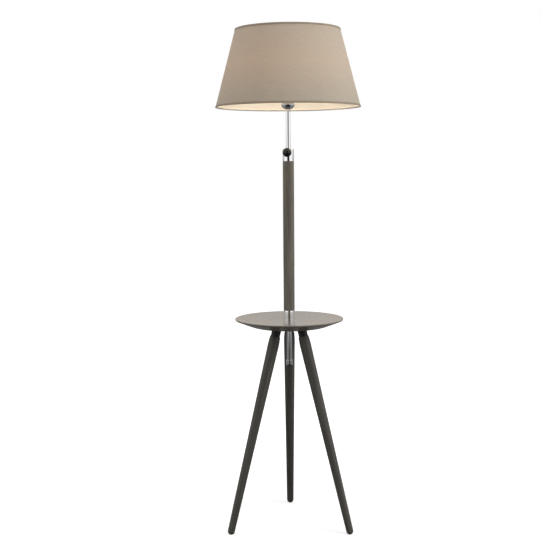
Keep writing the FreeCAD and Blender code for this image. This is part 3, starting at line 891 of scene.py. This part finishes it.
class BuildTable(bpy.types.Operator):
    """Make the round table top"""
    bl_idname = "lamp.table"
    bl_label = "Table top"

    def execute(self, context):
        table, edge = settings("table"), settings("column").edge
        (low, high), outside = ends("table_top"), width("table_top") / 2
        bore, seat = width("liner_tube") / 2 + FIT, width("lower_ferrule") / 2 + FIT
        outline = rounded((bore, low), (table.flat_width / 2, low, table.bevel_round),
                          (outside, high - table.rim_height, table.rim_round),
                          (outside, high, table.rim_round), (seat, high, edge / 2),
                          (seat, high - table.recess), (bore, high - table.recess), steps=10)
        fit(turned("round_table", outline, sides=WIDE_SIDES), "stand", "table_lacquer",
            "table_top")
        return {"FINISHED"}


class BuildColumn(bpy.types.Operator):
    """Make the wooden column and its chrome ferrules"""
    bl_idname = "lamp.column"
    bl_label = "Column and ferrules"

    def execute(self, context):
        column = settings("column")
        low, high = top("lower_ferrule"), bottom("upper_ferrule")
        bore, outside = width("liner_tube") / 2 + FIT, width("column") / 2
        spigot, reach, edge = column.spigot_width / 2, column.spigot_length, column.wood_edge
        fit(turned("wooden_column", rounded(
            (bore, low - reach), (spigot, low - reach), (spigot, low), (outside, low, edge),
            (outside, high, edge), (spigot, high), (spigot, high + reach), (bore, high + reach))),
            "stand", "column_wood", "column")

        edge, pocket, ferrule = column.ferrule_edge, spigot + FIT, width("lower_ferrule") / 2
        base = bottom("lower_ferrule")
        fit(turned("lower_chrome_ferrule", rounded(
            (bore, base), (ferrule, base, edge), (ferrule, low, edge), (pocket, low),
            (pocket, low - reach), (bore, low - reach))), "stand", "chrome", "lower_ferrule")

        crown, tube_top, bush_low = (top("upper_ferrule"), top("liner_tube"),
                                     bottom("upper_guide_bush"))
        bush, passage = width("upper_guide_bush") / 2 + FIT, width("stem_tube") / 2 + FREE
        spacing = 0.0012        # short faces, so that the wall shades evenly round the screw hole
        rows = [(ferrule, z) for z in rows_between(high + 2 * edge, crown - 2 * edge, spacing)]
        outer = rounded((pocket, high), (ferrule, high, edge), (ferrule, crown, edge),
                        (bush, crown))
        half = len(outer) // 2
        upper = turned("upper_chrome_ferrule", join(
            outer[:half], rows, outer[half:], (bush, bush_low), (passage, bush_low),
            (passage, tube_top), (bore, tube_top), (bore, high + reach), (pocket, high + reach)),
            sides=FINE_SIDES)
        middle, _, _, outward = knob_axis()
        drill(upper, middle + outward * ferrule, outward, column.screw_hole, ferrule * 0.8)
        fit(upper, "stand", "chrome", "upper_ferrule")
        return {"FINISHED"}


class BuildFasteners(bpy.types.Operator):
    """Make the guide bushes, and the washer and nut under the table"""
    bl_idname = "lamp.fasteners"
    bl_label = "Bushes, washer and nut"

    def execute(self, context):
        column = settings("column")
        edge, bore = column.edge, width("stem_tube") / 2 + FIT
        fit(ring("upper_bush", bore, width("upper_guide_bush") / 2, *ends("upper_guide_bush"),
                 edge), "stand", "bush_plastic", "upper_guide_bush")

        wall = 0.00155          # the liner tube's wall and the play within it
        lip = width("lower_guide_bush") / 2
        barrel, (low, high), shoulder = lip - wall, ends("lower_guide_bush"), bottom("liner_tube")
        fit(turned("lower_bush", rounded(
            (bore, low, edge), (lip, low, edge), (lip, shoulder, edge / 2), (barrel, shoulder),
            (barrel, high, edge), (bore, high, edge))), "stand", "bush_plastic",
            "lower_guide_bush")

        bore = width("liner_tube") / 2 + FIT
        fit(ring("table_washer", bore, width("liner_washer") / 2, *ends("liner_washer"), edge),
            "stand", "steel", "liner_washer")

        # The nut's radius is the smaller of a hexagon's and of a cone's that breaks its corners.
        corner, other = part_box("liner_nut")
        low, high, flats = corner.z, other.z, (other.y - corner.y) / 2
        narrow = flats * 0.97   # the cone's radius at both faces
        angles = even_angles(FINE_SIDES)
        sides = hexagon(flats, angles)
        rise = np.linspace(0, column.nut_chamfer, 9)
        heights = np.concatenate([low + rise, high - rise[::-1]])
        from_end = np.minimum(heights - low, high - heights)
        cone = narrow + from_end * (sides.max() - narrow) / column.nut_chamfer
        wall = np.minimum(sides, cone[:, None])
        inside = np.full_like(wall[:1], bore)
        heights = np.concatenate([[low], heights, [high]])[:, None]
        rings = ringed(np.vstack([inside, wall, inside]), heights, angles)
        fit(skin("table_nut", rings, closed=True), "stand", "steel", "liner_nut")
        return {"FINISHED"}


class BuildKnob(bpy.types.Operator):
    """Make the ball knob and its threaded screw"""
    bl_idname = "lamp.knob"
    bl_label = "Clamping knob"

    def execute(self, context):
        knob, axis = settings("knob"), knob_axis()
        ball, edge = knob.ball_width / 2, knob.edge
        flat = width("upper_ferrule") / 2 + knob.ball_gap
        centre = flat + ball - knob.ball_flat
        bore, end = knob.screw_width / 2 + FIT, flat + knob.bore_depth
        cut = math.sqrt(ball ** 2 - (ball - knob.ball_flat) ** 2)
        tilt = np.linspace(math.asin(cut / ball) + edge / ball, math.pi, 48)
        globe = np.stack([ball * np.sin(tilt), centre - ball * np.cos(tilt)], -1)
        # One point between the flat and the globe breaks the edge where the ball is cut.
        outline = join((0, end), (bore, end), (bore, flat), (cut - edge, flat),
                       (cut - edge * 0.2, flat + edge * 0.12), globe[:-1], (0, centre + ball))
        fit(turned("black_ball", outline, axis, closed=False), "knob", "knob_plastic",
            "ball_knob")

        pad = 0.0032            # room for the pressure pad between the stem and the screw
        low = width("stem_tube") / 2 + pad
        thread = threaded(low, end, knob.screw_width / 2, knob.thread_depth, knob.thread_pitch,
                          even_angles(SIDES))
        tip, head = (np.broadcast_to((0.0, 0.0, z), (1, SIDES, 3)) for z in (low, end))
        fit(skin("clamp_screw", place(np.concatenate([tip, thread, head]), axis), closed=False),
            "knob", "steel", "clamping_screw")
        return {"FINISHED"}


class BuildStem(bpy.types.Operator):
    """Make the chrome stem, its stop collar and its cup"""
    bl_idname = "lamp.stem"
    bl_label = "Stem, stop collar and cup"

    def execute(self, context):
        stem = settings("stem")
        edge, outside, (low, high) = stem.edge, width("stem_tube") / 2, ends("stem_tube")
        fit(ring("chrome_stem", outside - stem.wall, outside, low, high, edge), "stem", "chrome",
            "stem_tube")

        (base, crown), wide = ends("stop_collar"), width("stop_collar") / 2
        hole, bore = stem.bush_width / 2 + FIT, outside + FIT
        collar = turned("chrome_stop_collar", rounded(
            (hole, base, edge), (wide, base, stem.collar_round), (wide, crown, edge * 1.5),
            (bore, crown, edge), (bore, low), (hole, low), steps=10))
        middle = (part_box("stop_screw")[0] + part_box("stop_screw")[1]) / 2
        drill(collar, (0, wide, middle.z), (0, 1, 0), stem.screw_width + 2 * FIT,
              (wide - outside) * 1.2)
        fit(collar, "stem", "chrome", "stop_collar")

        # The grub screw: a disc, a hexagonal socket in it, and the socket's floor.
        angles = even_angles(SMALL_SIDES)
        socket = hexagon(stem.socket_width / 2, angles)
        radius, start, face = stem.screw_width / 2, outside + FIT, wide - edge * 0.5
        floor = face - stem.socket_depth
        radii, heights = zip((0, start), (radius, start), (radius, face - edge),
                             (radius - edge, face), (socket, face), (socket, floor), (0, floor))
        rings = ringed(np.array([np.broadcast_to(r, angles.shape) for r in radii]),
                       np.array(heights)[:, None], angles)
        axis = along((0, 0, middle.z), (0, 1, 0), (0, 0, 1))
        fit(skin("grub_screw", place(rings, axis), closed=False), "stem", "steel", "stop_screw")

        barrel, lip, opening = stem.bush_width / 2, outside - stem.wall - FIT, stem.cord_hole / 2
        bush_top = top("cord_bush")
        fit(turned("cord_outlet_bush", rounded(
            (opening, base, edge * 2), (barrel, base, edge), (barrel, low), (lip, low),
            (lip, bush_top, edge), (opening, bush_top, edge))), "stem", "black_plastic",
            "cord_bush")

        wall, rim, (base, rim_z) = stem.cup_wall, width("cup") / 2, ends("cup")
        drop, nipple = rim_z - base, width("nipple") / 2 + FIT
        outer = bowl(rim, outside, drop, rim_z)
        inner = bowl(rim - wall, outside - wall / 2, drop - wall, rim_z)[::-1]
        lip = arc((rim, rim_z - wall / 2), (rim - wall / 2, rim_z), (rim - wall, rim_z - wall / 2),
                  8)
        fit(turned("chrome_cup", join((nipple, base), outer[:-1], lip, inner[1:],
                                      (nipple, base + wall))), "stem", "chrome", "cup")
        return {"FINISHED"}


class BuildLampholder(bpy.types.Operator):
    """Make the lampholder and the ring nut"""
    bl_idname = "lamp.lampholder"
    bl_label = "Lampholder"

    def execute(self, context):
        holder = settings("holder")
        edge, wall = holder.edge, holder.wall
        soft = edge * 0.3       # from a corner to the middle of its rounding, both ways
        (low, high), outside = ends("lampholder_cap"), width("lampholder_cap") / 2
        hole = width("nipple") / 2 + FIT
        boss, inside, floor = hole + wall, outside - wall, low + holder.boss
        dome = bowl(outside, boss, holder.dome - wall, low + holder.dome, 20)
        fit(turned("holder_cap", join(
            (hole, low), (boss, low), dome, (outside, high - edge), (outside - soft, high - soft),
            (outside - edge, high), (inside, high), (inside, low + holder.dome),
            (inside - wall * 3, floor), (hole, floor))), "stem", "white_plastic",
            "lampholder_cap")

        base, crown = ends("lampholder_sleeve")
        flange, step = width("lampholder_sleeve") / 2, base + holder.flange_height
        (bore, crest), angles = sleeve_radii(), even_angles(SIDES)
        foot = join((bore, base), (flange - edge, base), (flange - soft, base + soft),
                    (flange, base + edge), (flange, step - edge), (flange - soft, step - soft),
                    (flange - edge, step), (crest, step))
        thread = threaded(step + edge, crown - edge, crest, holder.thread_depth,
                          holder.thread_pitch, angles)
        mouth = join((crest - holder.thread_depth, crown), (bore, crown))
        rings = np.concatenate([swept(foot, angles), thread, swept(mouth, angles)])
        fit(skin("holder_sleeve", rings, closed=True), "stem", "white_plastic",
            "lampholder_sleeve")

        # The ring nut's outer wall has rounded ribs: radius less depth times (1 - |cos(n a / 2)|).
        (low, high), outside = ends("shade_ring_nut"), width("shade_ring_nut") / 2
        inner, angles = crest + FIT, even_angles(holder.ribs * RIB_SIDES)
        ribs = 1 - np.abs(np.cos(angles * holder.ribs / 2))
        radius, height, ribbed = np.hsplit(np.array([
            (inner, low, 0), (outside - edge, low, 1), (outside, low + edge, 1),
            (outside, high - edge, 1), (outside - edge, high, 1), (inner, high, 0)]), 3)
        rings = ringed(radius - ribs * holder.rib_depth * ribbed, height, angles)
        fit(skin("ribbed_ring_nut", rings, closed=True), "stem", "white_plastic",
            "shade_ring_nut")
        return {"FINISHED"}


class BuildBulb(bpy.types.Operator):
    """Make the opal bulb"""
    bl_idname = "lamp.bulb"
    bl_label = "Bulb"

    def execute(self, context):
        holder, low, globe_z = settings("holder"), bottom("bulb_glass"), globe_middle()
        wide, neck_z, foot_turn = (width("bulb_glass") / 2, low + holder.neck_height,
                                   holder.globe_foot)

        def surface(depth):
            """Neck, hollow curve, and globe from its foot to its crown, this deep in the glass."""
            neck, reach = holder.neck_width / 2 - depth, wide - depth
            foot = (reach * math.cos(foot_turn), globe_z - reach * math.sin(foot_turn))
            between = ((neck + foot[0]) / 2 - holder.neck_hollow, (neck_z + foot[1]) / 2)
            t = np.linspace(-foot_turn, math.pi / 2, 40)
            globe = np.stack([reach * np.cos(t), globe_z + reach * np.sin(t)], -1)
            globe[-1, 0] = 0.0
            return join((neck, low), arc((neck, neck_z), between, foot), globe[1:])

        outline = join(surface(holder.glass_wall)[::-1], surface(0.0))
        fit(turned("opal_bulb", outline, closed=False), "stem", "opal_glass", "bulb_glass")
        return {"FINISHED"}


class BuildShadeFrame(bpy.types.Operator):
    """Make the shade's wire frame"""
    bl_idname = "lamp.shade_frame"
    bl_label = "Shade frame"

    def execute(self, context):
        shade = settings("shade")
        wire = shade.wire_width / 2
        t = even_angles(WIRE_SIDES)
        centres = {}
        for edge in ("bottom", "top"):
            node = "shade_" + edge + "_ring"
            centres[edge] = width(node) / 2 - wire, (bottom(node) + top(node)) / 2
            outline = centres[edge] + wire * np.stack([np.cos(t), np.sin(t)], -1)
            fit(turned("shade_" + edge + "_wire", outline, sides=WIDE_SIDES), "shade",
                "white_wire", node)

        node = "shade_frame_ring"
        (low, high), outside = ends(node), width(node) / 2
        fit(ring("lampholder_ring", sleeve_radii()[1] + FREE, outside, low, high, 0.0006), "shade",
            "white_wire", node)

        # Each arm is a circle carried along a straight line, with a rounded end on each ring.
        start, end = (outside - shade.arm_seat, (low + high) / 2), centres["bottom"]
        cap = np.linspace(0, math.pi / 2, 7)
        for side, turn in LEG_TURNS.items():
            way = math.radians(turn)
            outward = np.array([math.cos(way), math.sin(way), 0])
            first, last = (outward * r + (0, 0, z) for r, z in (start, end))
            axis = along(first, last - first, (-math.sin(way), math.cos(way), 0))
            run = np.linalg.norm(last - first)
            foot = np.stack([wire * np.sin(cap), -wire * np.cos(cap) * 0.5], -1)
            head = np.stack([wire * np.cos(cap), run + wire * np.sin(cap) * 0.5], -1)
            foot[0, 0] = head[-1, 0] = 0.0
            fit(turned("shade_arm_wire_" + side, join(foot, head), axis, ARM_SIDES, closed=False),
                "shade", "white_wire", "shade_arm_" + side)
        return {"FINISHED"}


class BuildShade(bpy.types.Operator):
    """Make the shade's fabric, lining and edge tapes"""
    bl_idname = "lamp.shade"
    bl_label = "Shade"

    def execute(self, context):
        shade = settings("shade")
        tape, gap, band = shade.trim_thickness, shade.gap, shade.trim_height
        base, crown = bottom("shade_bottom_trim"), top("shade_top_trim")
        low, high = base + tape + gap, crown - tape - gap
        cover = tape + gap
        film = cover + shade.cover_thickness + gap
        wall = film + shade.lining_thickness + gap
        _, widest, slope = shade_cone()
        angles = shade_angles()

        def coat(name, outline, lift=0.0):
            """A closed layer, charted as its flat pattern, whose outer face is lifted."""
            rings = swept(outline, angles)
            rings[:len(outline) // 2] += lift
            return skin(name, rings, closed=True, plan=flat_pattern(outline, angles))

        def layer(depth, thickness):
            """Outline of one layer of the wall, with rows close enough to follow the cone."""
            rise, fall = rows_between(low, high, 0.008), rows_between(high, low, 0.008)
            return join([(shade_radius(depth, z), z) for z in rise],
                        [(shade_radius(depth + thickness, z), z) for z in fall])

        # At the seam one end of the fabric lies over the other: the overlap stands out by step,
        # and rises to it over slant.
        step, slant = 0.0004, 0.0012
        from_seam = turn_from_seam(angles) * widest
        lap = np.clip((from_seam + shade.seam_width / 2) / slant, 0, 1)
        lap *= np.clip((shade.seam_width / 2 - from_seam) / slant, 0, 1)
        outward = np.stack([np.cos(angles), np.sin(angles), 0 * angles], -1) * lap[:, None]
        cloth = coat("shade_cloth", layer(cover, shade.cover_thickness), outward * step)
        fit(cloth, "shade", "shade_fabric", "shade_cover")

        # Unrolled, the cone spans pi times the sine of its half angle to each side.
        lean = math.hypot(1, slope)
        sine = slope / lean
        wide, narrow = shade_radius(cover, low), shade_radius(cover, high)
        spread = math.pi * sine
        cut = (2 * wide / sine * math.sin(spread), wide / sine - narrow / sine * math.cos(spread))
        math.pi * (wide + narrow) * (high - low) * lean

        fit(coat("shade_film", layer(film, shade.lining_thickness)), "shade", "shade_lining",
            "shade_lining")

        def spot(depth, z, rounding=0.0):
            return shade_radius(depth, z), z, rounding

        soft = tape * 0.45
        tapes = {"bottom": (spot(wall, base, soft / 2), spot(0, base, soft),
                            spot(0, base + band, soft), spot(tape, base + band),
                            spot(tape, base + tape), spot(wall, base + tape)),
                 "top": (spot(wall, crown - tape), spot(tape, crown - tape),
                         spot(tape, crown - band), spot(0, crown - band, soft),
                         spot(0, crown, soft), spot(wall, crown, soft / 2))}
        for edge, corners in tapes.items():
            fit(coat("edge_tape_" + edge, rounded(*corners)), "shade", "shade_trim",
                "shade_" + edge + "_trim")
        return {"FINISHED"}


class FinishInnerPieces(bpy.types.Operator):
    """Give the pieces inside the lamp their finishes"""
    bl_idname = "lamp.inner_pieces"
    bl_label = "Inner pieces"

    def execute(self, context):
        slots = {part["node"]: part["material_slot"] for part in frame["record"]["subparts"]}
        for name, piece in frame["nodes"].items():
            if piece.hide_render:
                continue
            piece.data.materials.clear()
            piece.data.materials.append(finishes()[slots[name]])
        return {"FINISHED"}


# ---------------------------------------------------------------- stage

def unseen(piece, *kinds):
    """Hides a stage piece from these kinds of rays."""
    for kind in kinds:
        setattr(piece, "visible_" + kind, False)


def backdrop(name, outline, sides, paint, shader):
    """A stage piece, one face thick: the surface of revolution of an outline, and its shader."""
    paint.node("ShaderNodeOutputMaterial", None, {"Surface": shader})
    rings = swept(np.array(outline, float), even_angles(sides))
    index = np.arange(len(outline) * sides).reshape(len(outline), sides)
    faces = cells(np.hstack([index, index[:, :1]])).reshape(-1, 4).tolist()
    mesh = bpy.data.meshes.new(name)
    mesh.from_pydata(rings.reshape(-1, 3), [], faces)
    mesh.materials.append(paint.owner)
    piece = added(name, mesh)
    return piece


class BuildStage(bpy.types.Operator):
    """Make the camera, the lights, the floor and the surround"""
    bl_idname = "lamp.stage"
    bl_label = "Stage"

    def execute(self, context):
        stage, scene = settings("stage"), context.scene
        scene.view_settings.view_transform = "Standard"
        self.camera(scene, stage)
        self.world(scene)
        self.floor(stage)
        self.surround()
        for name, box in SOFTBOXES.items():
            self.softbox(name, *box)
        glow = bpy.data.lights.new("bulb_glow", "POINT")
        glow.energy, glow.shadow_soft_size, glow.color = 3.3, 0.032, (1.0, 0.87, 0.7)
        bulb = added("bulb_glow", glow)
        bulb.location = (0, 0, globe_middle())
        unseen(bulb, "camera", "glossy", "transmission")
        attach(bulb, "stem")
        return {"FINISHED"}

    def camera(self, scene, stage):
        data = bpy.data.cameras.new("camera")
        data.lens, data.sensor_width = stage.lens, 36.0
        turn = (Matrix.Rotation(stage.yaw, 4, "Z")
                @ Matrix.Rotation(math.pi / 2 - stage.pitch, 4, "X")
                @ Matrix.Rotation(stage.roll, 4, "Z"))
        scene.camera = added("camera", data)
        scene.camera.matrix_world = Matrix.Translation((0, -stage.distance, stage.height)) @ turn

    def world(self, scene):
        """White for the camera and in reflections, softer as light on the object."""
        scene.world = bpy.data.worlds.new("white")
        paint = Paint(scene.world)
        seen, mirrored, through = paint.rays("Is Camera Ray", "Is Glossy Ray",
                                             "Is Transmission Ray")
        shown = seen.maths("MAXIMUM", seen, mirrored.maths("MAXIMUM", mirrored, through))
        soft, plain = (paint.node("ShaderNodeBackground", None, {"Color": tone, "Strength": power})
                       for tone, power in (((0.97, 0.98, 1.0, 1.0), 0.25), ((1.0,) * 4, 1.0)))
        mixed = paint.node("ShaderNodeMixShader", None, {0: shown, 1: soft, 2: plain})
        paint.node("ShaderNodeOutputWorld", None, {"Surface": mixed})

    def floor(self, stage):
        """A pale disc that keeps the shadow near the feet and reads as white to the camera.

        Polished pieces mirror another picture of it, a painted reflection: nearly black within 0.5 m of
        the lamp, in a sector of DARK_AHEAD to each side of its front, and up to 1.9 m away in a
        wider one of DARK_NEARBY. Elsewhere it is dim, and from 4.5 m on white ahead and grey behind.
        """
        paint = new_paint("floor")
        seen, bounced, mirrored = paint.rays("Is Camera Ray", "Is Diffuse Ray", "Is Glossy Ray")
        spot = paint.place()
        far = paint.node("ShaderNodeVectorMath", {"operation": "LENGTH"}, {0: spot}, 1)
        tone = paint.mix(bounced, tuple(stage.floor), linear(138, 136, 132))
        pale = paint.node("ShaderNodeBsdfDiffuse", None, {"Color": tone})
        glow = paint.node("ShaderNodeEmission", None,
                          {"Color": far.ramp(0.3, 1.5) * 0.4 + 0.62, "Strength": seen})
        own = paint.node("ShaderNodeAddShader", None, {0: pale, 1: glow})

        turn, ahead = paint.from_front(spot), paint.part(spot, "Y").ramp(0.8, -1.2)
        outside = paint.mix(ahead, (0.27, 0.26, 0.25), (1.0, 1.0, 1.0))
        painted_reflection = paint.mix(far.ramp(1.0, 2.6), (0.18,) * 3, (0.26,) * 3)
        painted_reflection = paint.mix(far.ramp(0.5, 0.8), (0.03,) * 3, painted_reflection)
        painted_reflection = paint.mix(far.ramp(3.2, 4.5), painted_reflection, outside)
        painted_reflection = paint.mix(turn.ramp(*DARK_AHEAD), PAINTED_DARK, painted_reflection)
        beyond, to_sides = far.ramp(1.9, 2.4), turn.ramp(*DARK_NEARBY)
        painted_reflection = paint.mix(beyond + to_sides - beyond * to_sides, PAINTED_DARK, painted_reflection)
        mirror = paint.node("ShaderNodeEmission", None, {"Color": painted_reflection})
        both = paint.node("ShaderNodeMixShader", None, {0: mirrored, 1: own, 2: mirror})
        radii = (0, 0.3, 1, 2.5, 5, 9)
        floor = backdrop("floor", [(radius, 0) for radius in radii], 96, paint, both)
        floor.location.z = -0.0002

    def surround(self):
        """A round wall that only reflections show, a painted reflection: nearly black within DARK_AHEAD
        of the lamp's front, white to both sides of that, and behind the lamp grey below 1.15 m
        and paler above 1.5 m."""
        paint = new_paint("surround")
        spot = paint.place()
        ahead, raised = (paint.part(spot, "Y").ramp(1.6, -1.0),
                         paint.part(spot, "Z").ramp(1.15, 1.5))
        behind = paint.mix(raised, (0.4, 0.39, 0.37), (0.92, 0.87, 0.8))
        bright = paint.mix(ahead, behind, (1.05, 1.05, 1.05))
        painted_reflection = paint.mix(paint.from_front(spot).ramp(*DARK_AHEAD), PAINTED_DARK, bright)
        glow = paint.node("ShaderNodeEmission", None, {"Color": painted_reflection})
        wall = backdrop("surround", [(6, -0.6), (6, 4.5)], 120, paint, glow)
        unseen(wall, "camera", "diffuse", "transmission", "shadow", "volume_scatter")

    def softbox(self, name, spot, target, size, power):
        """A lamp that only lights, and that faces its target."""
        data = bpy.data.lights.new(name, "AREA")
        data.shape, data.energy = "RECTANGLE", power
        data.size, data.size_y = size
        lamp = added(name, data)
        away = Vector(spot) - Vector(target)
        lamp.matrix_world = Matrix.Translation(spot) @ away.to_track_quat("Z", "Y").to_matrix().to_4x4()
        unseen(lamp, "camera", "glossy", "transmission")


OPERATORS = (BuildLegs, BuildCollars, BuildTable, BuildColumn, BuildFasteners, BuildKnob,
             BuildStem, BuildLampholder, BuildBulb, BuildShadeFrame, BuildShade,
             FinishInnerPieces, BuildStage)


class LampPanel(bpy.types.Panel):
    """Sizes, colours and steps of the lamp"""
    bl_idname = "VIEW3D_PT_lamp"
    bl_label = "Floor lamp with table"
    bl_space_type = "VIEW_3D"
    bl_region_type = "UI"
    bl_category = "Lamp"

    def draw(self, context):
        for operator in OPERATORS:
            self.layout.operator(operator.bl_idname)
        for group, kind in SETTINGS.items():
            box = self.layout.box()
            box.label(text=kind.__doc__)
            for name in kind.__annotations__:
                box.prop(settings(group), name)


CLASSES = (*SETTINGS.values(), *OPERATORS, LampPanel)


def register():
    for kind in CLASSES:
        bpy.utils.register_class(kind)
    for group, kind in SETTINGS.items():
        setattr(bpy.types.Scene, "lamp_" + group, PointerProperty(type=kind))


def unregister():
    for group in SETTINGS:
        delattr(bpy.types.Scene, "lamp_" + group)
    for kind in reversed(CLASSES):
        bpy.utils.unregister_class(kind)


def main():
    register()
    for operator in OPERATORS:
        group, name = operator.bl_idname.split(".")
        getattr(getattr(bpy.ops, group), name)()


if __name__ == "__main__":
    main()
